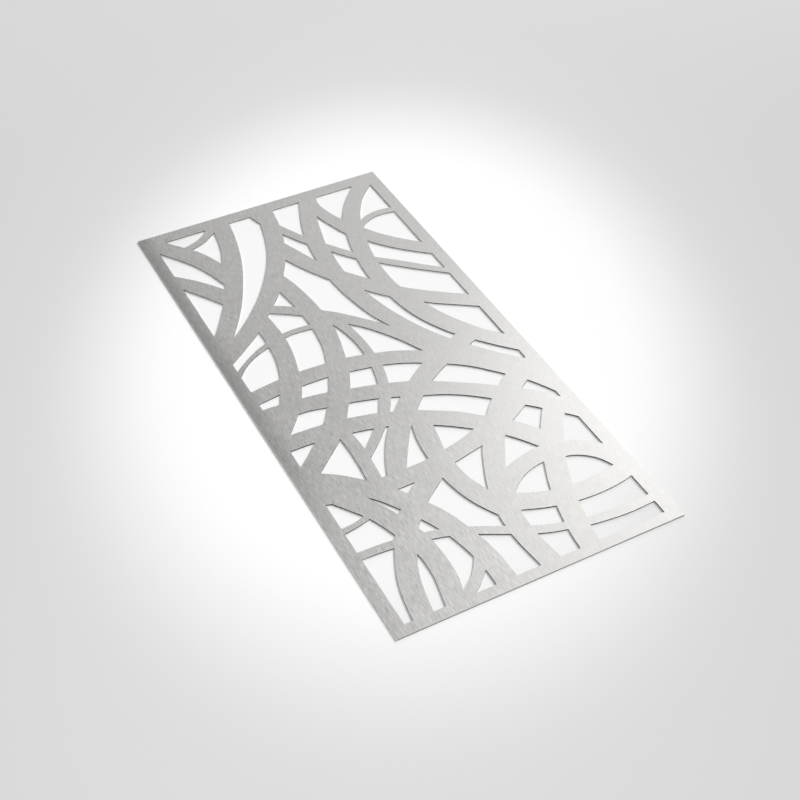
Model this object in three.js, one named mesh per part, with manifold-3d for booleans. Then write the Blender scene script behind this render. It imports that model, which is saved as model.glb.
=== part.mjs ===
// Laser cut metal screen: one flat sheet of brushed stainless steel, laid flat with its front face up.
// Curved bands cross one another inside a plain border, and the openings are what they leave between them.
import * as THREE from "three";
import { mergeVertices } from "three/addons/utils/BufferGeometryUtils.js";
import Module from "manifold-3d";

// Driving dimensions in millimetres. X runs across the sheet, Y along it, and Z up through it.
const SHEET_WIDTH = 480;
const SHEET_LENGTH = 1000;
const SHEET_THICKNESS = 3;
const BORDER_LEFT = 22;
const BORDER_RIGHT = 23;
const BORDER_FAR = 26;
const BORDER_NEAR = 18;
const FACET_LENGTH = 12; // longest straight facet along a curved edge
const CUT_OVERRUN = 1; // how far a cut runs past each face

// The bands are drawn for this window, in millimetres from the near left corner of the sheet.
const DRAWN_LEFT = 22;
const DRAWN_RIGHT = 457;
const DRAWN_NEAR = 18;
const DRAWN_FAR = 974;

// A band is a pair of edges, both listed from the same end. Each edge is a smooth curve through its points,
// and it starts and stops inside the border or inside another band.

// Bands that fall from the far left towards the near right.
const FALLING_BANDS = {
  corner_fall: [
    [[28, 992], [44, 972], [68, 943], [79, 930], [97, 900], [110, 867], [120, 835]],
    [[8, 964], [25, 943.5], [41, 921.5], [61, 891], [71, 871], [81, 846], [92.5, 808], [98, 788]],
  ],
  second_fall: [
    [[5, 888], [22, 873.5], [50, 846], [65, 828], [87, 798], [100, 780]],
    [[8, 850], [25, 828.5], [41, 805], [51, 790], [68, 762], [80, 743]],
  ],
  high_fall: [
    [[226, 992], [236, 955], [249, 925], [273, 877], [301, 834], [332, 791], [360, 760], [390, 734], [430, 697],
      [456, 675], [475, 660]],
    [[206, 992], [211, 974], [219, 947], [244, 895], [270, 849], [299, 809], [329, 770], [361, 739.5],
      [401, 702.5], [441, 669], [475, 642]],
  ],
  right_fall: [
    [[353, 990], [346, 974], [341, 952], [350, 910], [359, 889], [382, 847], [400, 819], [425, 789], [455, 760],
      [475, 742]],
    [[320, 990], [318, 950], [322.5, 915], [331.5, 884], [346, 845], [371, 808], [391, 782], [416, 755.5],
      [446, 729], [475, 706]],
  ],
  middle_fall: [
    [[222, 900], [234, 871], [248, 836], [262, 801], [294, 747], [324, 707], [361, 664], [390, 638], [420, 615],
      [457, 589], [475, 577]],
    [[204, 855], [215, 826.5], [231, 791], [261, 738], [304, 681], [332.5, 648], [380, 606], [401, 590],
      [431, 570], [459, 551], [475, 540]],
  ],
  short_fall: [
    [[128, 727], [143, 719], [173, 700], [211, 670], [230, 654], [250, 633], [270, 611], [286, 591], [297, 577],
      [352, 490]],
    [[112, 712], [130, 702.5], [151, 689.5], [177, 671], [208, 643], [238, 613.5], [256, 595], [276, 568],
      [296.5, 535], [315, 498], [335, 462]],
  ],
  low_fall: [
    [[5, 352], [22, 340], [43, 325], [70, 306], [97, 280.5], [131, 241], [158, 198], [175, 166], [187, 129],
      [199, 80], [202, 40], [202, 5]],
    [[5, 298], [30, 284], [60, 266], [88, 243.5], [116.5, 203.5], [134, 173], [147.5, 144.5], [155.5, 124],
      [166, 76], [169, 48], [168, 5]],
  ],
};

// Bands that rise from the near left towards the far right.
const RISING_BANDS = {
  corner_thread: [
    [[55, 941], [68, 943], [92, 950.5], [108, 960.5], [122, 974], [136, 990]],
    [[68, 930], [81, 932.5], [98, 937.5], [110, 943.5], [122, 951.5], [134, 961.5], [158, 986]],
  ],
  left_sweep: [
    [[8, 672], [30, 701], [50, 731], [66, 758], [87, 798], [110, 867], [122, 900], [128, 925], [133.5, 960],
      [138, 990]],
    [[15, 622], [34, 650], [48, 671], [80, 719], [100, 754], [120, 796], [140, 845], [150, 878], [163, 935],
      [168, 971], [170, 990]],
  ],
  inner_sweep: [
    [[6, 637], [48, 671], [80, 699], [120, 741], [140, 766], [168, 808], [192, 854], [206, 893], [219, 945],
      [227, 990]],
    [[6, 601], [22, 613], [60, 641], [91, 665], [143, 719], [167, 746], [193, 786], [214, 824], [234, 871],
      [249, 927], [255, 970], [257, 990]],
  ],
  middle_rise: [
    [[124, 255], [131, 275], [144.5, 307], [161.5, 338], [181, 365], [204, 391], [229, 416], [259, 442],
      [297, 469.5], [340, 490], [384, 508.5], [402, 517]],
    [[155, 255], [164, 274], [195, 324], [213, 350], [238, 377], [260, 399], [292, 425], [310, 437], [332, 449],
      [392, 475], [405, 480.5], [425, 488]],
  ],
  low_rise: [
    [[34, 5], [35.5, 18], [44, 70], [54, 102], [73, 142.5], [85.5, 164], [109, 196], [141, 227], [160, 242],
      [185, 258]],
    [[67, 5], [68, 18], [73, 48], [80, 78], [96.5, 117.5], [122, 160], [158, 198], [201, 230], [230, 254]],
  ],
  great_rise: [
    [[244, 5], [242.5, 18], [236, 75], [236, 104], [238, 126], [251, 179], [273, 230], [289, 260.5], [328, 314],
      [357, 344.5], [382, 365], [407, 384], [430, 397], [472, 407]],
    [[278, 5], [276, 18], [269, 80], [272, 119], [282, 153], [297, 203], [313, 231], [331, 262], [365, 303],
      [411, 342], [430.5, 356], [472, 378]],
  ],
  near_rise: [
    [[90, 8], [122, 30], [143, 46], [152, 55.5], [166, 76], [178, 96]],
    [[118, 5], [134, 17.5], [150, 29.5], [169, 48], [186, 68]],
  ],
};

// Bands that run up and down the sheet.
const UPRIGHT_BANDS = {
  middle_stem: [
    [[318, 992], [301, 950], [287, 913], [276, 877], [270, 849], [264, 800], [261, 750], [263.5, 706],
      [270.5, 662], [280.5, 620], [297, 577], [318, 536], [345, 492], [375, 452], [405, 415], [460, 350]],
    [[349, 990], [333, 950], [319, 911], [308, 870], [300, 835], [297, 801], [294, 748], [302, 678], [310, 640],
      [322, 600], [340, 556], [370, 503], [392, 474], [420, 439], [448, 408], [472, 380]],
  ],
  right_stem: [
    [[440, 990], [423, 974.5], [405, 955], [385, 930.5], [360, 888], [345, 841], [333, 791], [326, 735],
      [325, 706], [333, 647], [339, 610], [348.5, 577], [362, 546], [384, 508], [406, 480.5], [431, 451.5],
      [460, 421.5], [476, 406]],
    [[476, 980], [449, 956], [430, 938], [410, 911], [389, 870], [369, 803], [362, 768], [358, 715], [361, 665],
      [379, 602], [392, 566], [410, 532], [430, 501], [458, 469], [476, 450]],
  ],
  left_stem: [
    [[5, 336], [22, 350], [45, 369.5], [63, 387], [93, 417.5], [114.5, 447.5], [132.5, 479.5], [148, 512],
      [159.5, 544], [171.5, 583], [177, 632], [177, 669], [175.5, 698], [169, 747], [165, 775]],
    [[5, 295], [22, 308], [43, 325], [75, 352.5], [101, 375.5], [131, 412], [149, 441], [167, 471], [183, 505],
      [194, 541], [206, 590], [211, 620], [211, 672], [208, 710], [201, 755], [193, 786], [188, 803]],
  ],
  far_left_stem: [
    [[5, 452], [30, 468], [51, 490], [61, 510], [76, 543], [89, 590], [92.5, 622], [93.5, 650], [92, 685]],
    [[5, 388], [37, 420.5], [66, 454.5], [88, 487], [100, 511], [111, 546], [123, 600], [126, 640], [123, 695],
      [120, 712]],
  ],
  inner_stem: [
    [[112, 326], [126, 339], [159, 372], [181, 400], [197.5, 429], [211, 459], [221, 500], [225.5, 550],
      [222.5, 585], [213.5, 622], [200, 650]],
    [[112, 307], [125, 318], [155, 345], [174, 365], [198, 394], [213, 418], [228, 454], [238, 493], [241.5, 545],
      [240, 578], [236, 609], [230, 635]],
  ],
  short_stem: [
    [[95, 258], [99, 279], [102, 315], [103, 345], [102, 377], [101, 400]],
    [[117, 255], [121, 274], [125, 318], [126, 340], [124, 378], [123, 398]],
  ],
  near_left_stem: [
    [[84, 5], [87, 18], [97.5, 70], [98.7, 95], [97.5, 117.5], [85.5, 164], [67.5, 209], [51.5, 233], [32, 260.5],
      [12, 288]],
    [[114, 5], [122, 30], [128, 53], [131, 85], [128.5, 131], [122, 160], [109, 196], [98, 219], [87, 241],
      [66, 280]],
  ],
  near_middle_stem: [
    [[250, 110], [238.5, 127], [217.5, 167.5], [207.5, 200], [202.5, 231], [202, 275], [207, 322], [214.5, 350.5],
      [219, 366]],
    [[262, 158], [250, 180], [238, 213], [234, 248], [234, 282], [238, 300], [244, 333], [247, 350]],
  ],
  near_right_stem: [
    [[308, 5], [309, 18], [313.5, 56], [323.5, 103], [333, 134], [346.5, 168], [355.5, 188], [388, 249],
      [408, 277], [416.5, 288], [430, 304]],
    [[341, 5], [342, 18], [346.5, 48], [358, 96], [368, 128], [378, 153], [390, 181], [406, 210], [420, 232],
      [441, 261], [450, 275]],
  ],
};

// Bands that cross the sheet from side to side.
const CROSSING_BANDS = {
  right_arch: [
    [[372, 850], [389, 870], [400, 876.5], [415, 881], [430, 883], [453, 880], [476, 873]],
    [[366, 828], [383, 849], [400, 861], [415, 866.5], [430, 868.5], [454, 865.5], [476, 858]],
  ],
  left_thread: [
    [[5, 577], [22, 592], [40, 606.5], [60, 620], [80, 631], [126, 645], [150, 647], [175, 645], [190, 642]],
    [[5, 558], [22, 577], [40, 596.5], [60, 610.5], [92, 624], [126, 634], [150, 635.5], [177, 633], [190, 630]],
  ],
  first_waist: [
    [[5, 534], [40, 540], [75, 544], [111, 546], [159, 544], [194, 541], [241, 529], [270, 520], [312, 499],
      [345, 480], [385, 448], [415, 415], [445, 375], [474, 325]],
    [[5, 503], [61, 511], [99, 513], [148, 512.5], [183, 508], [221, 501], [240, 497], [276, 483.5], [299, 471.5],
      [334, 450.5], [366, 427], [391, 401.5], [407, 384], [430.5, 356], [448.5, 327.5], [470, 285]],
  ],
  second_waist: [
    [[5, 491.5], [50, 490], [88, 487], [132, 480], [167, 471], [211, 459.5], [228, 454], [259, 442], [292, 425],
      [320, 408], [355, 385], [382, 365], [411, 342], [430, 327], [458, 296], [474, 278]],
    [[5, 454], [45, 457], [68, 456.5], [90, 455], [115, 449], [150, 442.5], [197, 429.5], [229.5, 417],
      [263, 402.5], [291, 390.5], [321, 373], [357, 344.5], [396.5, 307.5], [416.5, 288], [442, 262],
      [458.5, 244], [474, 226]],
  ],
  third_waist: [
    [[5, 421], [37, 420], [93, 417.5], [131, 412], [181, 400], [204, 391], [238, 377], [265, 361.5], [295, 343],
      [328, 314], [360, 287], [388, 249.5], [400, 230]],
    [[5, 388], [63, 387.5], [126, 379.5], [159, 372.5], [181.5, 366], [247, 334.5], [271, 318.5], [295.5, 299.5],
      [333, 264.5], [349.5, 244], [366, 219.5], [376, 200]],
  ],
  bowl: [
    [[5, 298], [22, 292], [60, 282], [97, 276], [121, 274], [164, 273.5], [200, 275.5], [235, 281.5], [265, 288],
      [294, 298], [330, 312], [370, 330], [395, 345]],
    [[5, 270], [23, 263.5], [60, 252], [88, 246], [131, 242], [160, 242.5], [200, 245], [234, 250], [265, 256.5],
      [290, 262], [325, 272], [360, 287], [396, 307], [412, 318]],
  ],
  edge_thread: [
    [[5, 210], [22, 211], [40, 212], [60, 217.5], [75, 223]],
    [[5, 199], [22, 200], [45, 203.5], [67, 209], [80, 214]],
  ],
  long_thread: [
    [[5, 160.5], [22, 160], [50, 159.5], [81, 157], [125, 149], [147, 144], [187, 129], [215, 115], [236, 104.5],
      [270, 87], [295, 77], [316, 71], [350, 63.5], [380, 60], [420, 58], [475, 58.5]],
    [[5, 146], [50, 145], [73, 143], [129, 133], [155, 125.5], [195, 108.5], [236, 87], [271, 70], [291, 62.5],
      [313, 56.5], [347, 48.5], [375, 44.5], [410, 41.5], [455, 43], [475, 44]],
  ],
  near_cradle: [
    [[262, 162], [282, 153.5], [310, 140], [332, 133.5], [368, 128], [395, 126.5], [425, 129], [445, 132.5],
      [475, 138]],
    [[255, 128], [272, 121], [301, 109.5], [323, 103], [358, 96.5], [395, 94.5], [430, 96.5], [456, 101.5],
      [475, 106]],
  ],
  near_arch: [
    [[280, 190], [297, 203], [315, 210], [340, 216], [366, 219], [406, 210.5], [425, 203], [440, 194], [456, 179],
      [474, 150]],
    [[268, 138], [283, 154], [303, 171], [325, 182], [355, 188], [390.5, 182.5], [411, 174.5], [431.5, 157.5],
      [445, 133.5], [450, 118]],
  ],
};

const wasm = await Module();
wasm.setup();

// The sheet is centred on the origin, with its back face on Z = 0.
const windowLeft = BORDER_LEFT - SHEET_WIDTH / 2;
const windowRight = SHEET_WIDTH / 2 - BORDER_RIGHT;
const windowNear = BORDER_NEAR - SHEET_LENGTH / 2;
const windowFar = SHEET_LENGTH / 2 - BORDER_FAR;

// A drawn point, stretched from the drawn window to the window of this sheet.
function placed([x, y]) {
  return new THREE.Vector3(
    THREE.MathUtils.mapLinear(x, DRAWN_LEFT, DRAWN_RIGHT, windowLeft, windowRight),
    THREE.MathUtils.mapLinear(y, DRAWN_NEAR, DRAWN_FAR, windowNear, windowFar),
    0,
  );
}

// Points at even steps along the smooth curve through the drawn points of one edge.
function edgePoints(drawn) {
  const curve = new THREE.CatmullRomCurve3(drawn.map(placed), false, "centripetal");
  return curve.getSpacedPoints(Math.ceil(curve.getLength() / FACET_LENGTH));
}

// The closed outline of a band: out along one edge and back along the other.
function bandOutline([oneEdge, otherEdge]) {
  return [...edgePoints(oneEdge), ...edgePoints(otherEdge).reverse()];
}

function rectangleOutline(left, right, near, far) {
  return [
    new THREE.Vector2(left, near),
    new THREE.Vector2(right, near),
    new THREE.Vector2(right, far),
    new THREE.Vector2(left, far),
  ];
}

// A solid that fills an outline and runs past both faces of the sheet by the overrun.
function prism(outline, overrun) {
  const shape = new THREE.Shape(outline.map((p) => new THREE.Vector2(p.x, p.y)));
  const depth = SHEET_THICKNESS + 2 * overrun;
  const geometry = new THREE.ExtrudeGeometry(shape, { depth, bevelEnabled: false });
  geometry.translate(0, 0, -overrun);
  geometry.deleteAttribute("normal");
  geometry.deleteAttribute("uv");
  const merged = mergeVertices(geometry);
  return new wasm.Manifold(
    new wasm.Mesh({
      numProp: 3,
      vertProperties: merged.attributes.position.array,
      triVerts: new Uint32Array(merged.index.array),
    }),
  );
}

function geometryOf(solid) {
  const made = solid.getMesh();
  const geometry = new THREE.BufferGeometry();
  geometry.setAttribute("position", new THREE.BufferAttribute(made.vertProperties, 3));
  geometry.setIndex(new THREE.BufferAttribute(made.triVerts, 1));
  const faceted = geometry.toNonIndexed();
  faceted.computeVertexNormals();
  return faceted;
}

// The openings are the window less every band, and the laser cuts them out of the plain sheet.
function screenSheet() {
  const bands = [FALLING_BANDS, RISING_BANDS, UPRIGHT_BANDS, CROSSING_BANDS]
    .flatMap((family) => Object.values(family))
    .map((band) => prism(bandOutline(band), 2 * CUT_OVERRUN));
  const lattice = bands.reduce((joined, band) => joined.add(band));
  const window = prism(rectangleOutline(windowLeft, windowRight, windowNear, windowFar), CUT_OVERRUN);
  const openings = window.subtract(lattice);
  const plain = prism(
    rectangleOutline(-SHEET_WIDTH / 2, SHEET_WIDTH / 2, -SHEET_LENGTH / 2, SHEET_LENGTH / 2),
    0,
  );
  return plain.subtract(openings);
}

const brushedSteel = new THREE.MeshStandardMaterial({
  color: 0xb8b7b3,
  roughness: 0.38,
  metalness: 1,
});

const screenPanel = new THREE.Mesh(geometryOf(screenSheet()), brushedSteel);
screenPanel.name = "screen_panel";

const screen = new THREE.Group();
screen.add(screenPanel);

export default screen;
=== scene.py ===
# Laser cut metal screen: one flat sheet of brushed stainless steel, lying face up on a pale studio floor.
import math

import bpy
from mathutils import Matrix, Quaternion, Vector


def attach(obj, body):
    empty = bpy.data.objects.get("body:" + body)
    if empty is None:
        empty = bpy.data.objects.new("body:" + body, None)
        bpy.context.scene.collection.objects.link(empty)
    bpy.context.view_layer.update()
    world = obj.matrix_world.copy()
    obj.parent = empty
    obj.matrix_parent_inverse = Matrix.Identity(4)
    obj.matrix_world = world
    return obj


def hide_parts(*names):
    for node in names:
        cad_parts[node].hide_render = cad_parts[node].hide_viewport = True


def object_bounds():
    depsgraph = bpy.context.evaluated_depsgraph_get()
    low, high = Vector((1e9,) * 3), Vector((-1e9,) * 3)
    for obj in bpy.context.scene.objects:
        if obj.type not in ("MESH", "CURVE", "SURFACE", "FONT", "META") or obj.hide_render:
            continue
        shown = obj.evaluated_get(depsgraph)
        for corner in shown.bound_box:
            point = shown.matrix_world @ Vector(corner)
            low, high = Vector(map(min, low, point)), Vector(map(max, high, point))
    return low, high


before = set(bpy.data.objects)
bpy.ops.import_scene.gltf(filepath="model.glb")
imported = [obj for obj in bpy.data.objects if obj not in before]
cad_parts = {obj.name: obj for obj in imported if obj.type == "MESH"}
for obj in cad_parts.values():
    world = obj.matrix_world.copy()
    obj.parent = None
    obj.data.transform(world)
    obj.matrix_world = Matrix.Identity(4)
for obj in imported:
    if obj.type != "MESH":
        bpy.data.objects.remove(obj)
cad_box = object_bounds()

# Camera. It stands off the near left corner of the sheet, about a metre and a half up,
# and looks down along the sheet through a 61 mm lens on a sensor 36 mm wide.
camera_place = Vector((-0.7570, -1.4632, 1.4965))
camera_aim = Vector((-0.0136, -0.0876, 0.0003))
camera_roll = math.radians(0.353)
camera_data = bpy.data.cameras.new("camera")
camera_data.sensor_width = 36.0
camera_data.lens = 60.87
camera = bpy.data.objects.new("camera", camera_data)
camera.location = camera_place
level_view = (camera_aim - camera_place).to_track_quat("-Z", "Y")
camera.rotation_euler = (level_view @ Quaternion((0.0, 0.0, 1.0), camera_roll)).to_euler()
bpy.context.scene.collection.objects.link(camera)
bpy.context.scene.camera = camera

# Screen sheet. One piece of 3 mm stainless steel, cut right through by a laser: the outline and every
# opening have square walls. The burr is eased off each edge, which leaves a very narrow bevel all round it.
half_width, half_length = cad_box[1][:2]
left_edge = -half_width
edge_easing = 0.00012
weld_distance = 0.00001
flat_angle = math.radians(0.2)
sharp_angle = math.radians(30)
cad_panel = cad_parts["screen_panel"]
bpy.ops.object.select_all(action="DESELECT")
sheet = bpy.data.objects.new("steel_sheet", cad_panel.data.copy())
bpy.context.scene.collection.objects.link(sheet)
bpy.context.view_layer.objects.active = sheet
sheet.select_set(True)
bpy.ops.object.mode_set(mode="EDIT")
bpy.ops.mesh.select_mode(type="EDGE")
bpy.ops.mesh.select_all(action="SELECT")
bpy.ops.mesh.remove_doubles(threshold=weld_distance)
bpy.ops.mesh.dissolve_limited(angle_limit=flat_angle)
bpy.ops.mesh.select_all(action="DESELECT")
bpy.ops.mesh.edges_select_sharp(sharpness=sharp_angle)
bpy.ops.mesh.bevel(offset=edge_easing, segments=2, clamp_overlap=False, loop_slide=False)
bpy.ops.object.mode_set(mode="OBJECT")
bpy.ops.object.shade_smooth_by_angle(angle=sharp_angle)


def node(tree, kind, **settings):
    made = tree.nodes.new(kind)
    for name, value in settings.items():
        setattr(made, name, value)
    return made


# Sets a socket to a number, or links it to the output that is given instead of one.
def feed(tree, socket, value):
    if isinstance(value, bpy.types.NodeSocket):
        tree.links.new(value, socket)
    else:
        socket.default_value = value


def new_material(name):
    material = bpy.data.materials.new(name)
    material.use_nodes = True
    material.node_tree.nodes.clear()
    shader = node(material.node_tree, "ShaderNodeBsdfPrincipled")
    output = node(material.node_tree, "ShaderNodeOutputMaterial")
    material.node_tree.links.new(shader.outputs["BSDF"], output.inputs["Surface"])
    return material, material.node_tree, shader


# A node group that takes the inputs named and gives out one tone.
def new_effect(name, *inputs):
    effect = bpy.data.node_groups.new(name, "ShaderNodeTree")
    for input_name, kind in inputs:
        effect.interface.new_socket(input_name, in_out="INPUT", socket_type=kind)
    effect.interface.new_socket("Tone", in_out="OUTPUT", socket_type="NodeSocketFloat")
    entry = node(effect, "NodeGroupInput")
    exit_node = node(effect, "NodeGroupOutput")
    return effect, entry.outputs, exit_node.inputs["Tone"]


# Grain for the brushed faces and for all the walls. It adds to a tone a noise pattern that lies still on the
# sheet and repeats about so many times a metre along X, Y and Z.
grain, given, result = new_effect(
    "metal_grain",
    ("Tone", "NodeSocketFloat"),
    ("Per Metre", "NodeSocketVector"),
    ("Detail", "NodeSocketFloat"),
    ("Amount", "NodeSocketFloat"),
)
place = node(grain, "ShaderNodeTexCoord")
mapping = node(grain, "ShaderNodeMapping")
pattern = node(grain, "ShaderNodeTexNoise")
centred = node(grain, "ShaderNodeMath", operation="SUBTRACT")
added = node(grain, "ShaderNodeMath", operation="MULTIPLY_ADD")
pattern.inputs["Scale"].default_value = 1.0
centred.inputs[1].default_value = 0.5
grain.links.new(place.outputs["Object"], mapping.inputs["Vector"])
grain.links.new(given["Per Metre"], mapping.inputs["Scale"])
grain.links.new(mapping.outputs["Vector"], pattern.inputs["Vector"])
grain.links.new(given["Detail"], pattern.inputs["Detail"])
grain.links.new(pattern.outputs["Fac"], centred.inputs[0])
grain.links.new(centred.outputs[0], added.inputs[0])
grain.links.new(given["Amount"], added.inputs[1])
grain.links.new(given["Tone"], added.inputs[2])
grain.links.new(added.outputs[0], result)

# Grade for a finish that changes from one place to another: between the two places its tone runs smoothly
# from the first value to the second.
grade, given, result = new_effect(
    "tone_grade",
    ("Place", "NodeSocketFloat"),
    ("Start", "NodeSocketFloat"),
    ("End", "NodeSocketFloat"),
    ("Start Tone", "NodeSocketFloat"),
    ("End Tone", "NodeSocketFloat"),
)
slope = node(grade, "ShaderNodeMapRange", interpolation_type="SMOOTHSTEP")
grade.links.new(given["Place"], slope.inputs["Value"])
grade.links.new(given["Start"], slope.inputs["From Min"])
grade.links.new(given["End"], slope.inputs["From Max"])
grade.links.new(given["Start Tone"], slope.inputs["To Min"])
grade.links.new(given["End Tone"], slope.inputs["To Max"])
grade.links.new(slope.outputs["Result"], result)


# The middle tone, moved up and down by one layer of grain after another.
def grained(tree, middle, *layers):
    tone = middle
    for (per_metre, detail), amount in layers:
        layer = node(tree, "ShaderNodeGroup", node_tree=grain)
        layer.inputs["Per Metre"].default_value = per_metre
        layer.inputs["Detail"].default_value = detail
        layer.inputs["Amount"].default_value = amount
        feed(tree, layer.inputs["Tone"], tone)
        tone = layer.outputs["Tone"]
    return tone


# A tone graded by a value that tells the place.
def graded(tree, place, start, end, start_tone, end_tone):
    step = node(tree, "ShaderNodeGroup", node_tree=grade)
    feed(tree, step.inputs["Place"], place)
    feed(tree, step.inputs["Start"], start)
    feed(tree, step.inputs["End"], end)
    feed(tree, step.inputs["Start Tone"], start_tone)
    feed(tree, step.inputs["End Tone"], end_tone)
    return step.outputs["Tone"]


# Where a point lies on the sheet, as the outputs X, Y and Z.
def place_on_sheet(tree):
    place = node(tree, "ShaderNodeTexCoord")
    parts = node(tree, "ShaderNodeSeparateXYZ")
    tree.links.new(place.outputs["Object"], parts.inputs[0])
    return parts.outputs


# What one operation of arithmetic makes of two or three values.
def combined(tree, operation, *values):
    made = node(tree, "ShaderNodeMath", operation=operation)
    for socket, value in zip(made.inputs, values):
        feed(tree, socket, value)
    return made.outputs[0]


# A colour made lighter or darker by a tone that changes over the surface.
def toned(tree, colour, tone):
    scaled = node(tree, "ShaderNodeVectorMath", operation="SCALE")
    feed(tree, scaled.inputs[0], colour)
    feed(tree, scaled.inputs["Scale"], tone)
    return scaled.outputs["Vector"]


# Both faces are brushed along the sheet, in fine lines of uneven depth, with broader streaks among them and
# faint clouds. The grain is deepest along the left rim, and its lines spread what the metal mirrors out to
# each side. A pattern is its repeats a metre along X, Y and Z, and its detail.
fine_lines = (1000, 70, 1), 2.0
fine_scratches = (900, 70, 1), 2.0
streaks = (260, 28, 1), 3.0
clouds = (45, 24, 1), 2.0
broad_clouds = (12, 8, 1), 2.0
brushed_colour = (0.60, 0.594, 0.580)
brushed_roughness = 0.40
scratch_depth = 0.00001
brushed, tree, shader = new_material("brushed_stainless")
on_sheet = place_on_sheet(tree)
grain_depth = graded(tree, on_sheet["X"], start=left_edge, end=0.20, start_tone=1.35, end_tone=0.50)
grain_tone = grained(tree, 0.0, (fine_lines, 0.80), (streaks, 0.20), (clouds, 0.10), (broad_clouds, 0.10))
brushed_tone = combined(tree, "MULTIPLY_ADD", grain_tone, grain_depth, 1.0)

# Painted shade: the long left rim is painted darker than the rest, most of all away from the near end, for a
# slight bow of the real sheet that turns it from the light.
rim_width = 0.036
rim_inside = left_edge + rim_width
painted_rim_shade_along = graded(tree, on_sheet["Y"], start=-0.35, end=0.10, start_tone=0.92, end_tone=0.69)
rim_painted_shade = graded(tree, on_sheet["X"], start=left_edge, end=rim_inside, start_tone=painted_rim_shade_along, end_tone=1.0)
painted_rim_tone = combined(tree, "MULTIPLY", brushed_tone, rim_painted_shade)
roughness = grained(tree, brushed_roughness, (streaks, 0.12), (broad_clouds, 0.10))
tangent = node(tree, "ShaderNodeTangent", direction_type="UV_MAP", uv_map="along_sheet")
bump = node(tree, "ShaderNodeBump")
bump.inputs["Distance"].default_value = scratch_depth
tree.links.new(grained(tree, 0.5, (fine_scratches, 1.0), (streaks, 1.0)), bump.inputs["Height"])
tree.links.new(toned(tree, brushed_colour, painted_rim_tone), shader.inputs["Base Color"])
tree.links.new(roughness, shader.inputs["Roughness"])
tree.links.new(tangent.outputs["Tangent"], shader.inputs["Tangent"])
tree.links.new(bump.outputs["Normal"], shader.inputs["Normal"])
shader.inputs["Metallic"].default_value = 1.0
shader.inputs["Anisotropic"].default_value = 0.6

# The laser enters from the top face and leaves a dull dark band below it. The band is partly the cut's own
# finish and partly painted shade for the shadowed floor that the walls in the openings mirror, and it is
# painted deepest at the near end of the sheet.
# Under the band the cut is bright, and fine upright drag lines run down the whole wall.
drag_lines = (2200, 2200, 60), 2.0
cut_colour = (0.90, 0.89, 0.87)
cut_roughness = 0.5
drag_depth = 0.00003
band_fade = 0.0004
dark_band_and_shade_tone = 0.01
cut_wall, tree, shader = new_material("laser_cut_wall")
on_sheet = place_on_sheet(tree)
# The dark band, part dull cut and part painted shade, reaches lower towards the near end.
band_foot = graded(tree, on_sheet["Y"], start=-0.15, end=0.25, start_tone=0.0006, end_tone=0.0013)
band_top = combined(tree, "ADD", band_foot, band_fade)
band_and_painted_shade = graded(tree, on_sheet["Z"], start=band_foot, end=band_top, start_tone=1.0, end_tone=dark_band_and_shade_tone)
wall_tone = combined(tree, "MULTIPLY", grained(tree, 1.0, (drag_lines, 0.7)), band_and_painted_shade)
bump = node(tree, "ShaderNodeBump")
bump.inputs["Distance"].default_value = drag_depth
tree.links.new(grained(tree, 0.5, (drag_lines, 1.0)), bump.inputs["Height"])
tree.links.new(toned(tree, cut_colour, wall_tone), shader.inputs["Base Color"])
tree.links.new(grained(tree, cut_roughness, (drag_lines, 0.3)), shader.inputs["Roughness"])
tree.links.new(bump.outputs["Normal"], shader.inputs["Normal"])
shader.inputs["Metallic"].default_value = 1.0

# The outer edge is an even grey without the dark band, painted lighter than the walls in the openings for the
# open floor it mirrors, with a painted highlight that makes it brighter on the left side.
edge_colour = (0.33, 0.325, 0.315)
side_start = left_edge + 0.0005
side_end = left_edge + 0.0015
outer_edge, tree, shader = new_material("outline_painted_light")
on_sheet = place_on_sheet(tree)
painted_left_highlight = graded(tree, on_sheet["X"], start=side_start, end=side_end, start_tone=2.1, end_tone=1.0)
drag_and_highlight_tone = combined(tree, "MULTIPLY", grained(tree, 1.0, (drag_lines, 0.7)), painted_left_highlight)
tree.links.new(toned(tree, edge_colour, drag_and_highlight_tone), shader.inputs["Base Color"])
shader.inputs["Roughness"].default_value = cut_roughness
shader.inputs["Metallic"].default_value = 1.0

# Both faces and the eased edges are brushed. Upright walls are cut ones in the openings and, on the outline,
# walls with painted light. A polygon is told by how far its normal points up or down.
FACE, WALL, EDGE = 0, 1, 2
level_limit = 0.999
upright_limit = 0.05
outline_reach = 0.001
sheet.data.materials.clear()
for material in (brushed, cut_wall, outer_edge):
    sheet.data.materials.append(material)
for polygon in sheet.data.polygons:
    upward = abs(polygon.normal.z)
    from_side = half_width - abs(polygon.center.x)
    from_end = half_length - abs(polygon.center.y)
    if upward >= upright_limit:
        polygon.material_index = FACE
    elif min(from_side, from_end) < outline_reach:
        polygon.material_index = EDGE
    else:
        polygon.material_index = WALL
    if upward > level_limit:
        polygon.use_smooth = False

# The brushed metal takes its tangent from this map, which holds each point's X and Y.
along_sheet = sheet.data.uv_layers.new(name="along_sheet")
for loop in sheet.data.loops:
    place = sheet.data.vertices[loop.vertex_index].co
    along_sheet.data[loop.index].uv = (place.x, place.y)
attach(sheet, "root")
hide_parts("screen_panel")

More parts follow.
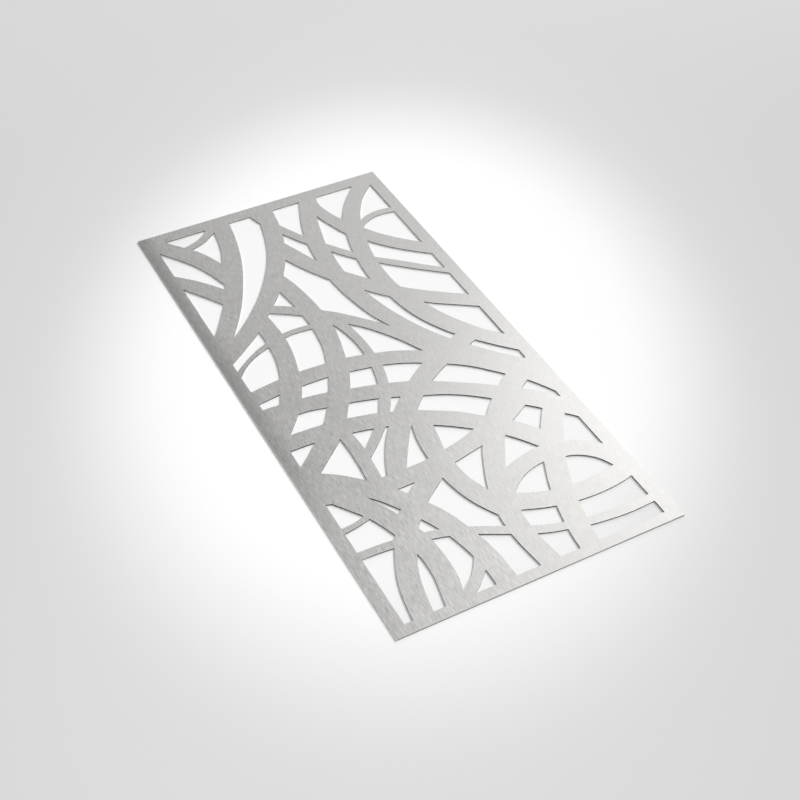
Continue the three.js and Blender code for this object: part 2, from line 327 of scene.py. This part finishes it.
# Studio floor. A matt white surface with a painted pool of light: pale in the middle, fading to light grey
# further out.
# A grey of the pool goes with its distance from the centre, as a share of the pool's reach each way.
floor_width = 16.0
floor_gap = 0.0003
pool_centre = (0.061, 0.057, 0.0)
pool_turn = math.radians(62.9)
pool_reach = (0.803, 0.575, 1.0)
ramp_end = 2.0
painted_light_greys = ((0.64, 0.945), (0.80, 0.847), (1.00, 0.659), (1.20, 0.653), (1.40, 0.633))
bpy.ops.mesh.primitive_plane_add(size=floor_width, location=(0.0, 0.0, -floor_gap))
floor = bpy.context.active_object
floor.name = "studio_floor"
floor_painted_light_and_shade, tree, shader = new_material("floor_painted_light_and_shade")
place = node(tree, "ShaderNodeTexCoord")
pool = node(tree, "ShaderNodeMapping", vector_type="TEXTURE")
pool.inputs["Location"].default_value = pool_centre
pool.inputs["Rotation"].default_value = (0.0, 0.0, pool_turn)
pool.inputs["Scale"].default_value = pool_reach
distance = node(tree, "ShaderNodeVectorMath", operation="LENGTH")
share = node(tree, "ShaderNodeMapRange")
share.inputs["From Max"].default_value = ramp_end
fade = node(tree, "ShaderNodeValToRGB")
fade.color_ramp.interpolation = "B_SPLINE"
stops = fade.color_ramp.elements
for from_centre, grey in painted_light_greys:
    stop = stops.new(from_centre / ramp_end)
    stop.color = (grey, grey, grey, 1.0)
stops.remove(stops[0])
stops.remove(stops[-1])
tree.links.new(place.outputs["Object"], pool.inputs["Vector"])
tree.links.new(pool.outputs["Vector"], distance.inputs[0])
tree.links.new(distance.outputs["Value"], share.inputs["Value"])
tree.links.new(share.outputs["Result"], fade.inputs["Fac"])

# Painted shade: the floor under the sheet is painted a little darker, as the sheet's soft shade, ending along
# its outline.
shade_edge = 0.012
painted_shade_tone = 0.93
folded = node(tree, "ShaderNodeVectorMath", operation="ABSOLUTE")
beyond = node(tree, "ShaderNodeVectorMath", operation="SUBTRACT")
beyond.inputs[1].default_value = (half_width, half_length, 0.0)
parts = node(tree, "ShaderNodeSeparateXYZ")
tree.links.new(place.outputs["Object"], folded.inputs[0])
tree.links.new(folded.outputs["Vector"], beyond.inputs[0])
tree.links.new(beyond.outputs["Vector"], parts.inputs[0])
past_outline = combined(tree, "MAXIMUM", parts.outputs["X"], parts.outputs["Y"])
shade = graded(tree, past_outline, start=-shade_edge, end=0.0, start_tone=painted_shade_tone, end_tone=1.0)

# Painted light and shade: behind the sheet the floor is painted a little lighter to the left and darker to
# the right.
side_turn = math.radians(-28.4)
side_tone = 0.106
side_reach = 0.9
turned = node(tree, "ShaderNodeMapping", vector_type="TEXTURE")
turned.inputs["Rotation"].default_value = (0.0, 0.0, side_turn)
parts = node(tree, "ShaderNodeSeparateXYZ")
across = node(tree, "ShaderNodeMapRange")
across.inputs["From Min"].default_value = -side_reach
across.inputs["From Max"].default_value = side_reach
across.inputs["To Min"].default_value = side_tone
across.inputs["To Max"].default_value = -side_tone
tree.links.new(place.outputs["Object"], turned.inputs["Vector"])
tree.links.new(turned.outputs["Vector"], parts.inputs[0])
tree.links.new(parts.outputs["X"], across.inputs["Value"])
away = graded(tree, parts.outputs["Y"], start=-0.6, end=1.5, start_tone=0.0, end_tone=1.0)
painted_side_light = combined(tree, "MULTIPLY_ADD", across.outputs["Result"], away, 1.0)
floor_painted_light_tone = combined(tree, "MULTIPLY", painted_side_light, shade)
tree.links.new(toned(tree, fade.outputs["Color"], floor_painted_light_tone), shader.inputs["Base Color"])
shader.inputs["Roughness"].default_value = 0.9
shader.inputs["Specular IOR Level"].default_value = 0.0
floor.data.materials.append(floor_painted_light_and_shade)

# Studio light. The surround is pale where it is seen or mirrored, and faint as a light. What the steel
# mirrors of it is dimmer beyond the far right corner, in the part that stands behind the lamps there.
surround_light = 0.15
surround_seen = 0.69
behind_lamps = (0.5, 0.866, 0.0)


# One value for the rays that a switch picks out, and another for the rest.
def switched(tree, switch, off_value, on_value):
    made = node(tree, "ShaderNodeMapRange")
    feed(tree, made.inputs["Value"], switch)
    feed(tree, made.inputs["To Min"], off_value)
    feed(tree, made.inputs["To Max"], on_value)
    return made.outputs["Result"]


world = bpy.data.worlds.new("studio")
world.use_nodes = True
bpy.context.scene.world = world
tree = world.node_tree
surround = tree.nodes["Background"]
surround.inputs["Color"].default_value = (1.0, 1.0, 1.0, 1.0)
ray = node(tree, "ShaderNodeLightPath")
direction = node(tree, "ShaderNodeTexCoord")
towards_corner = node(tree, "ShaderNodeVectorMath", operation="DOT_PRODUCT")
towards_corner.inputs[1].default_value = behind_lamps
tree.links.new(direction.outputs["Generated"], towards_corner.inputs[0])
mirrored = graded(
    tree,
    towards_corner.outputs["Value"],
    start=0.30,
    end=0.55,
    start_tone=surround_seen,
    end_tone=surround_light,
)
unseen = switched(tree, ray.outputs["Is Glossy Ray"], surround_light, mirrored)
level = switched(tree, ray.outputs["Is Camera Ray"], unseen, surround_seen)
tree.links.new(level, surround.inputs["Strength"])

# Two wide distant lights stand to the right, and soft boxes three metres off. Each is placed by its turn from
# the far end of the sheet to the right, and by its height angle.
lamp_distance = 3.0
box_width = 1.6
wide_angle = math.radians(30)
for name, kind, turn, height, power in (
    ("right_light", "SUN", 100, 54, 1.91),
    ("far_right_light", "SUN", 45, 38, 0.146),
    ("far_box", "AREA", 20, 28, 5.4),
    ("far_right_low_box", "AREA", 60, 28, 20.4),
    ("far_right_high_box", "AREA", 60, 55, 4.8),
    ("near_left_box", "AREA", 220, 55, 28.8),
):
    lamp = bpy.data.lights.new(name, kind)
    lamp.energy = power
    if kind == "SUN":
        lamp.angle = wide_angle
    else:
        lamp.shape = "SQUARE"
        lamp.size = box_width
    holder = bpy.data.objects.new(name, lamp)
    turn, height = math.radians(turn), math.radians(height)
    holder.location = (
        lamp_distance * math.sin(turn) * math.cos(height),
        lamp_distance * math.cos(turn) * math.cos(height),
        lamp_distance * math.sin(height),
    )
    holder.rotation_euler = (-holder.location).to_track_quat("-Z", "Y").to_euler()
    bpy.context.scene.collection.objects.link(holder)
bpy.context.scene.view_settings.view_transform = "Standard"
